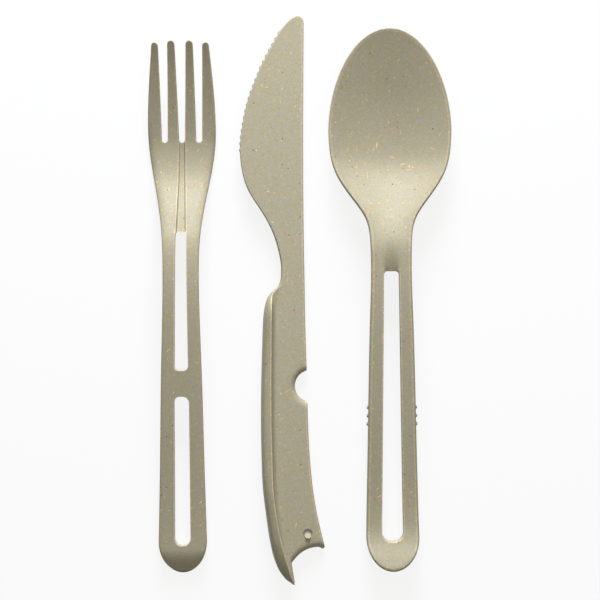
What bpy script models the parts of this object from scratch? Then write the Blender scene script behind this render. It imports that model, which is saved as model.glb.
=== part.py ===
"""A travel set of moulded plastic cutlery: a fork, a knife and a spoon, laid side by side.

Sizes are in millimetres, and each finished piece is scaled to metres. A piece is drawn along +Y with
the end of its handle at the origin: a flat blank with rounded edges is laid on the piece's own side
profile. Fork and spoon lie on the end of the handle and on the belly of the head, and the knife lies
on its rail, the corner of its handle and the tip of its blade.
"""
import math

import bmesh
import bpy
import numpy as np
from mathutils import Matrix, Vector

MM = 0.001
BLANK = 2.0                     # thickness of every blank before it is laid on its profile
EDGE_SHARE = 0.3                # rounding of a blank's edge, as a share of its thickness
PLASTIC = (0.45, 0.42, 0.31)
FREE_STEP = 4.0                 # spacing of points along smooth edges

# The fork, along its length from the end of the handle
FORK_END = 9.6                  # solid end below the lower slot
FORK_LOWER_SLOT = 52.2
FORK_CROSSBAR = 9.0             # the bar that the knife's round notch sits on
FORK_UPPER_SLOT = 47.9
FORK_HEAD = 31.3                # from the upper slot to the roots of the tines
FORK_TINE = 34.1
FORK_OUTER_TINE_SHORT = 0.6     # how much shorter the two outer tines are

# The fork, across
FORK_END_WIDTH = 16.74
FORK_CROSSBAR_WIDTH = 13.9
FORK_NECK_WIDTH = 12.3
FORK_HEAD_WIDTH = 23.5
FORK_TIP_WIDTH = 19.9
FORK_END_LENGTH = 11.2          # length of the rounded end
FORK_LOWER_SLOT_WIDTHS = (5.6, 5.25)
FORK_UPPER_SLOT_WIDTHS = (4.85, 3.85)
TINE_GAP_AT_ROOT = 2.1
CENTRE_GAP_AT_TIP = 3.8
SIDE_GAP_AT_TIP = 3.2
INNER_TINE_AT_ROOT = 3.9
INNER_TINE_AT_TIP = 2.5
FORK_GROOVE_WIDTHS = (1.9, 3.4)  # at the tines and at the slot
FORK_GROOVE_DEPTHS = (0.5, 1.3)

# The fork, seen from the side: heights of its middle surface and its thickness
FORK_NECK_HEIGHT = 10.0
FORK_TIP_HEIGHT = 11.6
FORK_HANDLE_THICKNESS = 4.0
FORK_ROOT_THICKNESS = 2.5
FORK_TIP_THICKNESS = 1.7

# The spoon, along its length from the end of the handle
SPOON_END = 10.0
SPOON_SLOT = 93.9
SPOON_NECK = 20.0               # from the slot to where the bowl opens
SPOON_BOWL_REAR = 28.3          # from there to the widest place
SPOON_BOWL_FRONT = 35.5

# The spoon, across
SPOON_END_WIDTH = 18.4
SPOON_END_LENGTH = 11.6
SPOON_NECK_WIDTH = 13.9
SPOON_BOWL_WIDTH = 42.5
BOWL_FRONT_FULLNESS = 1.87      # 2 makes the front of the bowl a plain half ellipse
SPOON_SLOT_WIDTHS = (7.5, 5.2)
GRIP_RIB_COUNT = 3
GRIP_RIB_PITCH = 2.9
GRIP_RIB_START = 51.3
GRIP_RIB_PROUD = 0.6
GRIP_RIB_LENGTH = 1.7

# The spoon, seen from the side
SPOON_END_HEIGHT = 6.4
SPOON_NECK_HEIGHT = 9.1
SPOON_TIP_HEIGHT = 7.0
BOWL_DEPTH = 6.4
BOWL_THICKNESS = 2.0
SPOON_HANDLE_THICKNESS = 4.0
SPOON_GROOVE_WIDTH = 5.1
SPOON_GROOVE_LENGTH = 13.0
SPOON_GROOVE_DEPTH = 1.6

# The knife: its blade and the flat plate of its handle
KNIFE_LENGTH = 198.2
KNIFE_HANDLE = 106.5            # length of the rail along the handle
BLADE_WIDTH = 22.3
BLADE_WAIST = 7.8               # the narrowest place, where the blade meets the handle
BLADE_EDGE_THICKNESS = 1.3
BLADE_BLEND = 20.0              # length over which the blade starts to thin toward its edge
PLATE_THICKNESS = 2.4
TOOTH_COUNT = 20
TOOTH_DEPTH = 0.35
TEETH_TO_TIP = 6.2              # the first tooth is where the blade is widest
CROSSBAR_NOTCH_RADIUS = 5.46
CROSSBAR_NOTCH_PLACE = (2.36, 69.1)
END_NOTCH_RADIUS = 10.4
END_NOTCH_PLACE = (5.0, 2.5)
HANDLE_CORNER = (7.45, 12.7)
HORN_CORNER = (-4.34, 7.66)
HORN_TIP = (-3.1, 0.45)
GATE_PLACE = (2.0, 17.3)
GATE_DIAMETER = 3.1
GATE_DEPTH = 0.45
GATE_NUB_DIAMETER = 2.2
GATE_NUB_HEIGHT = 0.35

# The knife: the rail along the left side of its handle, which stands out on both faces
RAIL_HALF_HEIGHT = 4.2
RAIL_THICKNESS = 2.6
RAIL_RIDGE = -12.0              # the crest of the rail, across from the knife's back

# Where the pieces lie
FORK_PLACE = (-40.8, -95.2)
FORK_TURN = 0.12
KNIFE_PLACE = (1.05, -99.0)
SPOON_PLACE = (32.4, -93.9)
SPOON_TURN = 0.52


def fair(stations):
    """The natural cubic spline through (place, value) stations, as a function of the place."""
    place, value = np.array(sorted(stations), dtype=float).T
    gap = np.diff(place)
    last = len(place) - 1
    matrix = np.eye(last + 1)
    right = np.zeros(last + 1)
    for i in range(1, last):
        matrix[i, i - 1:i + 2] = gap[i - 1], 2 * (gap[i - 1] + gap[i]), gap[i]
        right[i] = 6 * ((value[i + 1] - value[i]) / gap[i] - (value[i] - value[i - 1]) / gap[i - 1])
    bend = np.linalg.solve(matrix, right)

    def at(where):
        where = min(max(where, place[0]), place[-1])
        i = min(max(int(np.searchsorted(place, where)) - 1, 0), last - 1)
        ahead = (where - place[i]) / gap[i]
        behind = 1 - ahead
        sag = (behind ** 3 - behind) * bend[i] + (ahead ** 3 - ahead) * bend[i + 1]
        return float(behind * value[i] + ahead * value[i + 1] + sag * gap[i] ** 2 / 6)

    return at


def between(start, end, step):
    """Evenly spaced places from start to end, both included."""
    return np.linspace(start, end, max(2, round(abs(end - start) / step) + 1))


def arc(centre, radii, start, end, steps):
    """Points of an ellipse's arc between two angles in degrees."""
    return [(centre[0] + radii[0] * math.cos(a), centre[1] + radii[1] * math.sin(a))
            for a in np.radians(np.linspace(start, end, steps + 1))]


def slot(half_width, low, high, low_corner, high_corner):
    """The outline of a slot between two places, with its own corner radius at each end."""
    side = []
    for corner, place, start, end in ((low_corner, low, -90, 0), (high_corner, high, 0, 90)):
        inward = low_corner if place == low else -high_corner
        centre = (half_width(place + inward) - corner, place + inward)
        side.append(arc(centre, (corner, corner), start, end, 4))
    middle = between(low + low_corner, high - high_corner, FREE_STEP)[1:-1]
    right = side[0] + [(half_width(y), y) for y in middle] + side[1]
    return right + [(-x, y) for x, y in reversed(right)]


def taper(low, high, widths):
    """Half the width of something that changes evenly from one end to the other."""
    return lambda y: (widths[0] + (widths[1] - widths[0]) * (y - low) / (high - low)) / 2


def mirrored(right):
    """A closed outline from its right half, which starts and ends on the axis."""
    return right + [(-x, y) for x, y in reversed(right[1:-1])]


def blank(name, loops, rounding=BLANK * EDGE_SHARE):
    """A flat sheet with rounded edges, from its outline and the outlines of its holes."""
    curve = bpy.data.curves.new(name, "CURVE")
    curve.dimensions = "2D"
    curve.fill_mode = "BOTH"
    curve.extrude = BLANK / 2 - rounding
    curve.bevel_depth = rounding
    curve.bevel_resolution = 0
    curve.offset = -rounding
    for loop in loops:
        spline = curve.splines.new("POLY")
        spline.points.add(len(loop) - 1)
        for point, (x, y) in zip(spline.points, loop):
            point.co = (x, y, 0, 1)
        spline.use_cyclic_u = True
    outline = bpy.data.objects.new(name, curve)
    bpy.context.scene.collection.objects.link(outline)
    evaluated = outline.evaluated_get(bpy.context.evaluated_depsgraph_get())
    mesh = bpy.data.meshes.new_from_object(evaluated)
    bpy.data.objects.remove(outline)
    bpy.data.curves.remove(curve)
    sheet = bmesh.new()
    sheet.from_mesh(mesh)
    bpy.data.meshes.remove(mesh)
    bmesh.ops.remove_doubles(sheet, verts=sheet.verts, dist=1e-4)
    bmesh.ops.dissolve_limit(sheet, angle_limit=math.radians(0.5), verts=sheet.verts,
                             edges=[edge for edge in sheet.edges if on_flat(edge)])
    return sheet


def on_flat(edge):
    """Whether an edge lies inside one of a blank's two flat faces."""
    return all(abs(face.normal.z) > 0.999 for face in edge.link_faces)


def slice_across(sheet, places, axis, above=-math.inf):
    """Adds a line of points right across a sheet at each place, so that it can bend there."""
    for place in places:
        part = [face for face in sheet.faces if face.calc_center_bounds().y > above]
        around = {item for face in part for item in (*face.verts, *face.edges)}
        normal = Vector((1, 0, 0)) if axis == "x" else Vector((0, 1, 0))
        bmesh.ops.bisect_plane(sheet, geom=part + list(around), dist=1e-4,
                               plane_co=normal * float(place), plane_no=normal)


def lay_on(sheet, height, thickness, upper=lambda x, y: 0.0):
    """Bends a sheet on to its middle surface. The last function raises or sinks its upper face."""
    reach = 0.05
    for vertex in sheet.verts:
        x, y, z = vertex.co
        slope = (height(x, y + reach) - height(x, y - reach)) / (2 * reach)
        normal = Vector((0, -slope, 1)).normalized()
        share = z / (BLANK / 2)
        off = share * thickness(x, y) / 2 + max(share, 0) * upper(x, y)
        vertex.co = Vector((x, y, height(x, y))) + normal * off


def finish(name, sheet, collection, material):
    """Makes a piece of a finished sheet, in metres."""
    bmesh.ops.transform(sheet, matrix=Matrix.Scale(MM, 4), verts=sheet.verts)
    bmesh.ops.recalc_face_normals(sheet, faces=sheet.faces)
    bmesh.ops.triangulate(sheet, faces=sheet.faces)
    mesh = bpy.data.meshes.new(name)
    sheet.to_mesh(mesh)
    sheet.free()
    mesh.materials.append(material)
    mesh.shade_smooth()
    mesh.set_sharp_from_angle(angle=math.radians(40))
    piece = bpy.data.objects.new(name, mesh)
    collection.objects.link(piece)
    return piece


def helper(name, sheet, collection):
    """A cutter, or a shape that is joined to a piece: hidden itself."""
    bmesh.ops.transform(sheet, matrix=Matrix.Scale(MM, 4), verts=sheet.verts)
    bmesh.ops.recalc_face_normals(sheet, faces=sheet.faces)
    mesh = bpy.data.meshes.new(name)
    sheet.to_mesh(mesh)
    sheet.free()
    shape = bpy.data.objects.new(name, mesh)
    collection.objects.link(shape)
    shape.hide_render = True
    shape.display_type = "WIRE"
    return shape


def combine(piece, operation, shape):
    """Joins a shape to a piece or cuts it out, and parents it so that both move together."""
    modifier = piece.modifiers.new(shape.name, "BOOLEAN")
    modifier.operation = operation
    modifier.object = shape
    shape.parent = piece


def fork_outline(places, half_width):
    """The fork's outline: handle, head and four tines with round tips and round roots."""
    neck, roots, tips = places
    side_tips = tips - FORK_OUTER_TINE_SHORT
    inner_root = (TINE_GAP_AT_ROOT / 2, TINE_GAP_AT_ROOT / 2 + INNER_TINE_AT_ROOT)
    inner_tip = (CENTRE_GAP_AT_TIP / 2, CENTRE_GAP_AT_TIP / 2 + INNER_TINE_AT_TIP)
    outer_root = inner_root[1] + TINE_GAP_AT_ROOT
    outer_tip = inner_tip[1] + SIDE_GAP_AT_TIP
    gap = TINE_GAP_AT_ROOT / 2
    outer_radius = (FORK_TIP_WIDTH / 2 - outer_tip) / 2
    inner_radius = INNER_TINE_AT_TIP / 2
    start = roots + gap
    right = arc((0, FORK_END_LENGTH), (FORK_END_WIDTH / 2, FORK_END_LENGTH), -90, 0, 9)
    side = between(FORK_END_LENGTH, side_tips - outer_radius, FREE_STEP)
    right += [(half_width(y), y) for y in side[1:-1]]
    right += arc((outer_tip + outer_radius, side_tips - outer_radius), (outer_radius,) * 2, 0, 180, 6)
    right += [(outer_tip + (outer_root - outer_tip) * t, side_tips - outer_radius
               + (start - side_tips + outer_radius) * t) for t in np.linspace(0, 1, 10)[1:-1]]
    right += arc((inner_root[1] + gap, start), (gap, gap), 0, -180, 6)
    right += [(inner_root[1] + (inner_tip[1] - inner_root[1]) * t,
               start + (tips - inner_radius - start) * t) for t in np.linspace(0, 1, 10)[1:-1]]
    right += arc((inner_tip[0] + inner_radius, tips - inner_radius), (inner_radius,) * 2, 0, 180, 6)
    right += [(inner_tip[0] + (inner_root[0] - inner_tip[0]) * t, tips - inner_radius
               + (start - tips + inner_radius) * t) for t in np.linspace(0, 1, 10)[1:-1]]
    right += arc((0, start), (gap, gap), 0, -90, 3)
    return mirrored(right)


def make_fork(collection, cutters, material):
    """Four tines and a shallow groove down the head, on a handle with two slots."""
    crossbar = FORK_END + FORK_LOWER_SLOT
    upper_slot = crossbar + FORK_CROSSBAR
    neck = upper_slot + FORK_UPPER_SLOT
    roots = neck + FORK_HEAD
    tips = roots + FORK_TINE
    half_width = fair([(FORK_END_LENGTH, FORK_END_WIDTH / 2), (FORK_END_LENGTH + 28.8, 7.6),
                       (upper_slot - 0.8, FORK_CROSSBAR_WIDTH / 2), (neck - 14.7, FORK_NECK_WIDTH / 2),
                       (neck, FORK_NECK_WIDTH / 2 + 0.6), ((neck + roots) / 2, 9.28),
                       (roots, FORK_HEAD_WIDTH / 2 - 0.1), (roots + 7, FORK_HEAD_WIDTH / 2 + 0.02),
                       (tips - 2.1, FORK_TIP_WIDTH / 2)])
    end, belly = FORK_HANDLE_THICKNESS / 2, FORK_ROOT_THICKNESS / 2
    profile = fair([(0, 0.95 * end), (FORK_END, end), (crossbar, 0.6 * FORK_NECK_HEIGHT + 0.7),
                    (neck - 28, FORK_NECK_HEIGHT - 0.8), (neck - 10, FORK_NECK_HEIGHT),
                    (neck, FORK_NECK_HEIGHT - 0.8), (neck + 13.5, 5.6), (roots - 4.5, belly + 0.65),
                    (roots + 2, belly - 0.05), (roots + 10, belly + 1.1), (roots + 22, 6.1),
                    (tips, FORK_TIP_HEIGHT)])
    depth = fair([(0, 0.9 * FORK_HANDLE_THICKNESS), (FORK_END_LENGTH, FORK_HANDLE_THICKNESS),
                  (neck - 10, FORK_HANDLE_THICKNESS), (neck + 7, 0.8 * FORK_HANDLE_THICKNESS),
                  (roots - 5, FORK_ROOT_THICKNESS), (roots + 10, FORK_ROOT_THICKNESS - 0.2),
                  (tips, FORK_TIP_THICKNESS)])

    def height(x, y):
        return profile(y)

    def thickness(x, y):
        return depth(y)

    lower = slot(taper(FORK_END, crossbar, FORK_LOWER_SLOT_WIDTHS), FORK_END, crossbar, 2.6, 2.2)
    upper = slot(taper(upper_slot, neck, FORK_UPPER_SLOT_WIDTHS), upper_slot, neck, 1.6, 0.9)
    sheet = blank("fork", [fork_outline((neck, roots, tips), half_width), lower, upper])
    slice_across(sheet, between(0, tips, FREE_STEP)[1:-1], "y")
    lay_on(sheet, height, thickness)
    fork = finish("fork", sheet, collection, material)

    low = neck - 1.0
    high = roots + TINE_GAP_AT_ROOT / 2
    wide = taper(low, high, FORK_GROOVE_WIDTHS[::-1])
    sink = taper(low, high, [2 * value for value in FORK_GROOVE_DEPTHS[::-1]])
    groove = blank("fork_groove", [slot(wide, low, high, 0.3, 0.3)], rounding=0)
    slice_across(groove, between(low, high, FREE_STEP)[1:-1], "y")
    lay_on(groove, lambda x, y: profile(y) + depth(y) / 2 + 1.0 - sink(y) / 2, lambda x, y: 2.0)
    combine(fork, "DIFFERENCE", helper("fork_groove", groove, cutters))
    return fork


def make_spoon(collection, cutters, material):
    """A dished bowl on a handle with one long slot, a turned-up end and ribs to grip."""
    neck = SPOON_END + SPOON_SLOT
    opening = neck + SPOON_NECK
    widest = opening + SPOON_BOWL_REAR
    tip = widest + SPOON_BOWL_FRONT
    bowl = SPOON_BOWL_WIDTH / 2
    slim = SPOON_NECK_WIDTH / 2
    rear = fair([(SPOON_END_LENGTH, SPOON_END_WIDTH / 2), (neck - 54, 8.3), (neck - 14, slim + 0.38),
                 (neck, slim), (neck + 9, slim + 0.15), (neck + 14.5, slim + 0.65), (opening - 1.4, 8.9),
                 (opening + 4.1, 12.5), (opening + 13, 18.4), (opening + 21, bowl - 0.5), (widest, bowl)])

    def half_width(y):
        if y <= widest:
            return rear(y)
        return bowl * math.sqrt(max(0.0, 1 - ((y - widest) / SPOON_BOWL_FRONT) ** BOWL_FRONT_FULLNESS))

    right = arc((0, SPOON_END_LENGTH), (SPOON_END_WIDTH / 2, SPOON_END_LENGTH), -90, 0, 9)
    right += [(rear(y), y) for y in between(SPOON_END_LENGTH, widest, FREE_STEP)[1:]]
    turns = np.radians(np.linspace(0, 90, 19)[1:-1])
    right += [(half_width(y), y) for y in widest + SPOON_BOWL_FRONT * np.sin(turns)] + [(0, tip)]
    hole = slot(taper(SPOON_END, neck, SPOON_SLOT_WIDTHS), SPOON_END, neck, 3.2, 1.3)
    sheet = blank("spoon", [mirrored(right), hole])
    slice_across(sheet, between(0, tip, FREE_STEP)[1:-1], "y")
    slice_across(sheet, between(-bowl, bowl, FREE_STEP)[1:-1], "x", above=neck)

    end, floor = SPOON_HANDLE_THICKNESS / 2, BOWL_THICKNESS / 2
    centre = fair([(0, SPOON_END_HEIGHT), (SPOON_END - 1, end + 1.1), (SPOON_END + 9, end + 0.2),
                   (SPOON_END + 19, end + 0.5), (neck - 54, 4.45), (neck - 10, SPOON_NECK_HEIGHT - 0.75),
                   (neck + 4, SPOON_NECK_HEIGHT), (neck + 14.5, 7.3), (opening + 1, 5.2),
                   (opening + 8, 3.0), (opening + 15, floor + 0.6), (opening + 22.5, floor - 0.12),
                   (widest + 2, floor + 0.35), (widest + 11, floor + 1.3), (widest + 20, floor + 2.7),
                   (tip, SPOON_TIP_HEIGHT)])
    dish = fair([(neck + 2, 0), (neck + 8, 0.4), (neck + 14.5, 1.4), (opening + 1, 2.8),
                 (opening + 8, 4.7), (opening + 15, BOWL_DEPTH - 0.4), (opening + 22.5, BOWL_DEPTH),
                 (widest + 2, BOWL_DEPTH - 0.4), (widest + 11, 5.0), (widest + 20, 3.5), (tip, 0)])
    depth = fair([(0, 0.85 * SPOON_HANDLE_THICKNESS), (SPOON_END_LENGTH, SPOON_HANDLE_THICKNESS),
                  (neck, SPOON_HANDLE_THICKNESS), (opening, 1.4 * BOWL_THICKNESS),
                  (widest - 12, BOWL_THICKNESS), (tip, BOWL_THICKNESS)])

    def height(x, y):
        across = min(1.0, abs(x) / max(half_width(y), 0.5))
        return centre(y) + dish(y) * across ** 2

    def thickness(x, y):
        return depth(y)

    def groove(x, y):
        along = min(max((neck + SPOON_GROOVE_LENGTH - y) / SPOON_GROOVE_LENGTH, 0), 1)
        across = min(abs(x) / (SPOON_GROOVE_WIDTH / 2), 1)
        return -SPOON_GROOVE_DEPTH * along ** 2 * (1 - across ** 4) if y > neck - 1 else 0.0

    lay_on(sheet, height, thickness, groove)
    spoon = finish("spoon", sheet, collection, material)

    ribs = bmesh.new()
    for side in (-1, 1):
        for index in range(GRIP_RIB_COUNT):
            y = GRIP_RIB_START + index * GRIP_RIB_PITCH
            place = Matrix.Translation((side * (rear(y) - 0.5), y, centre(y) - 0.2))
            size = Matrix.Diagonal((GRIP_RIB_PROUD + 0.5, GRIP_RIB_LENGTH / 2, 1.3, 1))
            bmesh.ops.create_uvsphere(ribs, u_segments=8, v_segments=6, radius=1, matrix=place @ size)
    combine(spoon, "UNION", helper("grip_ribs", ribs, cutters))
    return spoon


def knife_outline(rail_middle):
    """The blade with its teeth, the back, the two notches and the horn. The rail hides the left side."""
    back = fair([(HANDLE_CORNER[1], HANDLE_CORNER[0]), (18.7, 5.95), (25.7, 4.4), (43.2, 2.15),
                 (60.6, 1.32), (74.4, 1.0), (88.5, 0.55), (104, 0.28), (120, 0), (KNIFE_LENGTH - 3.0, 0)])
    blade = KNIFE_LENGTH - KNIFE_HANDLE
    widest = KNIFE_HANDLE + 0.485 * blade
    swell = [(0.108, 0.397), (0.183, 0.5), (0.258, 0.675), (0.334, 0.874), (0.409, 0.971), (0.485, 1),
             (0.599, 0.946), (0.675, 0.874), (0.751, 0.76), (0.828, 0.623), (0.905, 0.451), (0.954, 0.327)]
    edge = fair([(KNIFE_HANDLE, -BLADE_WAIST - 0.15), (KNIFE_HANDLE + 3.5, -BLADE_WAIST)]
                + [(KNIFE_HANDLE + along * blade, -across * BLADE_WIDTH) for along, across in swell]
                + [(KNIFE_LENGTH - 1.0, -4.5)])
    notch = math.degrees(math.asin(math.sqrt(1 - (1.33 / CROSSBAR_NOTCH_RADIUS) ** 2)))
    points = [HANDLE_CORNER]
    points += [(back(y), y) for y in between(HANDLE_CORNER[1], 63.7, FREE_STEP)[1:-1]]
    points += arc(CROSSBAR_NOTCH_PLACE, (CROSSBAR_NOTCH_RADIUS,) * 2, -180 + notch, -180 - notch, 12)
    points += [(back(y), y) for y in (76, 88.5, 104, *between(120, KNIFE_LENGTH - 3.0, 30.0))]
    points += arc((-2.2, KNIFE_LENGTH - 2.6), (2.2, 2.6), 20, 110, 4)
    points += [(edge(y), y) for y in (KNIFE_LENGTH - 2.3, KNIFE_LENGTH - 4.2)]
    last_tooth = KNIFE_LENGTH - TEETH_TO_TIP
    pitch = (last_tooth - widest) / TOOTH_COUNT
    for index in range(2 * TOOTH_COUNT + 1):
        y = last_tooth - index * pitch / 2
        points.append((edge(y) + (TOOTH_DEPTH if index % 2 else 0), y))
    points += [(edge(y), y) for y in between(widest - FREE_STEP, KNIFE_HANDLE, FREE_STEP)]
    points += [(rail_middle(y), y) for y in between(KNIFE_HANDLE - 4, 6, 6.0)]
    points += [HORN_TIP, HORN_CORNER]
    points += arc(END_NOTCH_PLACE, (END_NOTCH_RADIUS,) * 2, 148, 88, 8)[1:]
    points += [(6.8, 12.15)]
    return points


def make_rail(ridge, width, half_height):
    """The rail as a loft: a rounded outer face, a sharp crest and a foot that stands in the plate."""
    foot = PLATE_THICKNESS / 2 - 0.15
    stations = [KNIFE_HANDLE - back for back in (-0.3, 0.9, 2.1, 3.5, 5.1, 7, 9.5)]
    stations += [*between(KNIFE_HANDLE - 14.5, 20, 6.0), 14, 9, 6, 3.6, 2, 0.9, 0.3]
    rail = bmesh.new()
    rings = []
    for y in stations:
        crest, wide, tall = ridge(y), width(y), half_height(y)
        upper = [(crest - wide * across, tall * up)
                 for across, up in ((1, 0), (0.9, 0.45), (0.6, 0.84), (0.12, 1), (0, 0.97))]
        upper += [(crest + 0.15, foot + 0.35 * (tall - foot)), (crest + 0.9, foot)]
        ring = upper + [(x, -z) for x, z in reversed(upper[1:])]
        rings.append([rail.verts.new((x, y, z)) for x, z in ring])
    for lower_ring, upper_ring in zip(rings, rings[1:]):
        for i in range(len(lower_ring)):
            j = (i + 1) % len(lower_ring)
            rail.faces.new((lower_ring[i], lower_ring[j], upper_ring[j], upper_ring[i]))
    rail.faces.new(rings[0])
    rail.faces.new(rings[-1])
    return rail


def make_knife(collection, cutters, material):
    """A flat blade and plate with a rail along the handle, which rests on three points."""
    end, heel_place = KNIFE_HANDLE + 0.4, KNIFE_HANDLE - 9.5
    ridge = fair([(0, -3.9), (6, -5.7), (12.8, -7.65), (20, -9.4), (32.2, RAIL_RIDGE + 0.8),
                  (43.9, RAIL_RIDGE + 0.25), (56, RAIL_RIDGE), (heel_place, RAIL_RIDGE),
                  (end - 6.2, RAIL_RIDGE + 0.5), (end - 3.4, RAIL_RIDGE + 1.9), (end, -BLADE_WAIST - 0.5)])
    width = fair([(0, 0.5), (0.9, 0.9), (3.2, 2.6), (6, 3.5), (12.3, 3.8), (26, 3.2),
                  (43.6, RAIL_THICKNESS + 0.35), (61, RAIL_THICKNESS + 0.2), (75, RAIL_THICKNESS),
                  (end - 18.3, RAIL_THICKNESS - 0.4), (end - 11.4, 1.8), (end - 7.9, 1.2),
                  (end - 5.4, 0.6), (end - 2.9, 0.45), (end, 0.35)])
    tall = fair([(0, 1.5), (3, 2.4), (10, 3.4), (24, RAIL_HALF_HEIGHT), (end - 14.9, RAIL_HALF_HEIGHT),
                 (end - 7.9, RAIL_HALF_HEIGHT - 0.3), (end - 3.4, 2.7), (end, 1.3)])
    outline = knife_outline(lambda y: ridge(y) - width(y) / 2)
    sheet = blank("knife", [outline])
    slice_across(sheet, between(KNIFE_HANDLE, KNIFE_HANDLE + BLADE_BLEND, FREE_STEP), "y")

    def thickness(x, y):
        along = min(max((y - KNIFE_HANDLE) / BLADE_BLEND, 0), 1)
        toward_edge = min(max(-x / BLADE_WIDTH, 0), 1)
        return PLATE_THICKNESS + (BLADE_EDGE_THICKNESS - PLATE_THICKNESS) * toward_edge * along

    lay_on(sheet, lambda x, y: 0.0, thickness)
    knife = finish("knife", sheet, collection, material)
    combine(knife, "UNION", helper("rail", make_rail(ridge, width, tall), cutters))

    for name, operation, diameter, low, high in (
            ("gate_recess", "DIFFERENCE", GATE_DIAMETER, -GATE_DEPTH, 1.0),
            ("gate_nub", "UNION", GATE_NUB_DIAMETER, -GATE_DEPTH - 0.3, GATE_NUB_HEIGHT - GATE_DEPTH)):
        disc = bmesh.new()
        place = Matrix.Translation((*GATE_PLACE, PLATE_THICKNESS / 2 + (low + high) / 2))
        bmesh.ops.create_cone(disc, cap_ends=True, segments=16, radius1=diameter / 2,
                              radius2=diameter / 2, depth=high - low, matrix=place)
        combine(knife, operation, helper(name, disc, cutters))

    corner = Vector((HANDLE_CORNER[0] - 0.3, HANDLE_CORNER[1] + 0.3, -PLATE_THICKNESS / 2))
    heel = Vector((RAIL_RIDGE, heel_place, -RAIL_HALF_HEIGHT))
    point = Vector((-1.5, KNIFE_LENGTH - 0.6, -PLATE_THICKNESS / 2))
    under = (point - corner).cross(heel - corner).normalized()
    knife.rotation_mode = "QUATERNION"
    knife.rotation_quaternion = under.rotation_difference(Vector((0, 0, 1)))
    return knife


def rest(piece, place, turn=0.0):
    """Puts a piece at its place in plan and lowers it until it touches the ground."""
    piece.rotation_euler.z = math.radians(turn)
    piece.location = (place[0] * MM, place[1] * MM, 0)
    bpy.context.view_layer.update()
    low, high = reach([piece])
    piece.location.z -= low.z


def reach(pieces):
    """The lowest and highest corners of some pieces together."""
    graph = bpy.context.evaluated_depsgraph_get()
    points = []
    for piece in pieces:
        evaluated = piece.evaluated_get(graph)
        mesh = evaluated.to_mesh()
        points += [evaluated.matrix_world @ vertex.co for vertex in mesh.vertices]
        evaluated.to_mesh_clear()
    return (Vector([min(point[i] for point in points) for i in range(3)]),
            Vector([max(point[i] for point in points) for i in range(3)]))


for old in list(bpy.data.objects):
    bpy.data.objects.remove(old)
cutlery = bpy.data.collections.new("travel_cutlery")
helpers = bpy.data.collections.new("helpers")
for group in (cutlery, helpers):
    bpy.context.scene.collection.children.link(group)
plastic = bpy.data.materials.new("fibre_plastic")
plastic.use_nodes = True
shader = plastic.node_tree.nodes["Principled BSDF"]
shader.inputs["Base Color"].default_value = (*PLASTIC, 1)
shader.inputs["Roughness"].default_value = 0.5
shader.inputs["Metallic"].default_value = 0.0

fork = make_fork(cutlery, helpers, plastic)
knife = make_knife(cutlery, helpers, plastic)
spoon = make_spoon(cutlery, helpers, plastic)
rest(fork, FORK_PLACE, FORK_TURN)
rest(knife, KNIFE_PLACE)
rest(spoon, SPOON_PLACE, SPOON_TURN)

centre_of_set = bpy.data.objects.new("set", None)
cutlery.objects.link(centre_of_set)
set_low, set_high = reach([fork, knife, spoon])
centre_of_set.location = (-(set_low.x + set_high.x) / 2, -(set_low.y + set_high.y) / 2, 0)
for piece in (fork, knife, spoon):
    piece.parent = centre_of_set
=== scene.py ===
"""Travel cutlery moulded from fibre-filled plastic: a fork, a knife and a spoon, side by side.

Each piece is drawn in millimetres along +Y, with the end of its handle at the origin, as a flat blank
with rings of points along its edges. The blank is then laid on the piece's side profile, and its edges,
grooves and crowns are pressed into it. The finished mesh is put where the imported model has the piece.
"""
import math

import bmesh
import bpy
import numpy as np
from mathutils import Matrix, Quaternion, Vector


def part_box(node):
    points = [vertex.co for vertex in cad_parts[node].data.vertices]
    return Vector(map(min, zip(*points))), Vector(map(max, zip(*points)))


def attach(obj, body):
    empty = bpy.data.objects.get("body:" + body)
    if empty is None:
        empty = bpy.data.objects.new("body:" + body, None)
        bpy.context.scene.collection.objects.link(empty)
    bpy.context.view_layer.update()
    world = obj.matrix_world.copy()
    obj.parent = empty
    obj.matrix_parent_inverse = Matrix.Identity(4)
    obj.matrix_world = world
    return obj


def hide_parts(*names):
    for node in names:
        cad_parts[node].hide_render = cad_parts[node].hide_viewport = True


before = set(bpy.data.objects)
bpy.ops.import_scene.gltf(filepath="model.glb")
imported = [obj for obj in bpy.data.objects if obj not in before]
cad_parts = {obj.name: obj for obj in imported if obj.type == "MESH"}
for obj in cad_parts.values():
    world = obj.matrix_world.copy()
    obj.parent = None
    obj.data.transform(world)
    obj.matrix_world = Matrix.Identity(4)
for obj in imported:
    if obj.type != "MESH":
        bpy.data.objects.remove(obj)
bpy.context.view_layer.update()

# The plastic. All three pieces are moulded from one grey-beige compound, filled with short golden fibres and
# dark specks that show through its satin skin.
# Golden lines along the rims, the lips and the knife's crest are painted highlights, where the rounded edges
# catch the light.
GREY_COLOUR = (0.396, 0.380, 0.300)
WARM_COLOUR = (0.394, 0.360, 0.228)
GOLD = (0.86, 0.47, 0.11)
STRAW = (0.92, 0.70, 0.34)
RUST = (0.46, 0.22, 0.07)
CREAM = (0.86, 0.78, 0.60)
BROWN = (0.16, 0.09, 0.035)
SKIN_ROUGHNESS = 0.42
SKIN_IOR = 1.38
SKIN_BUMP = 0.00006             # metres
# Painted highlight lines in gold: the attribute that says how far off the line a point is, half the line's
# width, strength
PAINTED_HIGHLIGHT_LINES = (("edge", 0.36, 0.75), ("lip", 0.3, 1.0))
# Fibres: the size of the cell that holds one, length, width, share kept, tilt and two colours
FIBRES = ((2.7, 2.7, 0.52, 0.8, 0.35, GOLD, STRAW), (1.8, 1.5, 0.44, 0.5, 0.6, GOLD, STRAW),
          (3.1, 1.9, 0.6, 0.5, 0.9, RUST, GOLD))
# Specks: the size of the cell that holds one, width, share kept and colour
SPECKS = ((2.0, 0.5, 0.28, BROWN), (3.1, 0.45, 0.35, CREAM))
SPECK_TILT = 1.2


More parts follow.
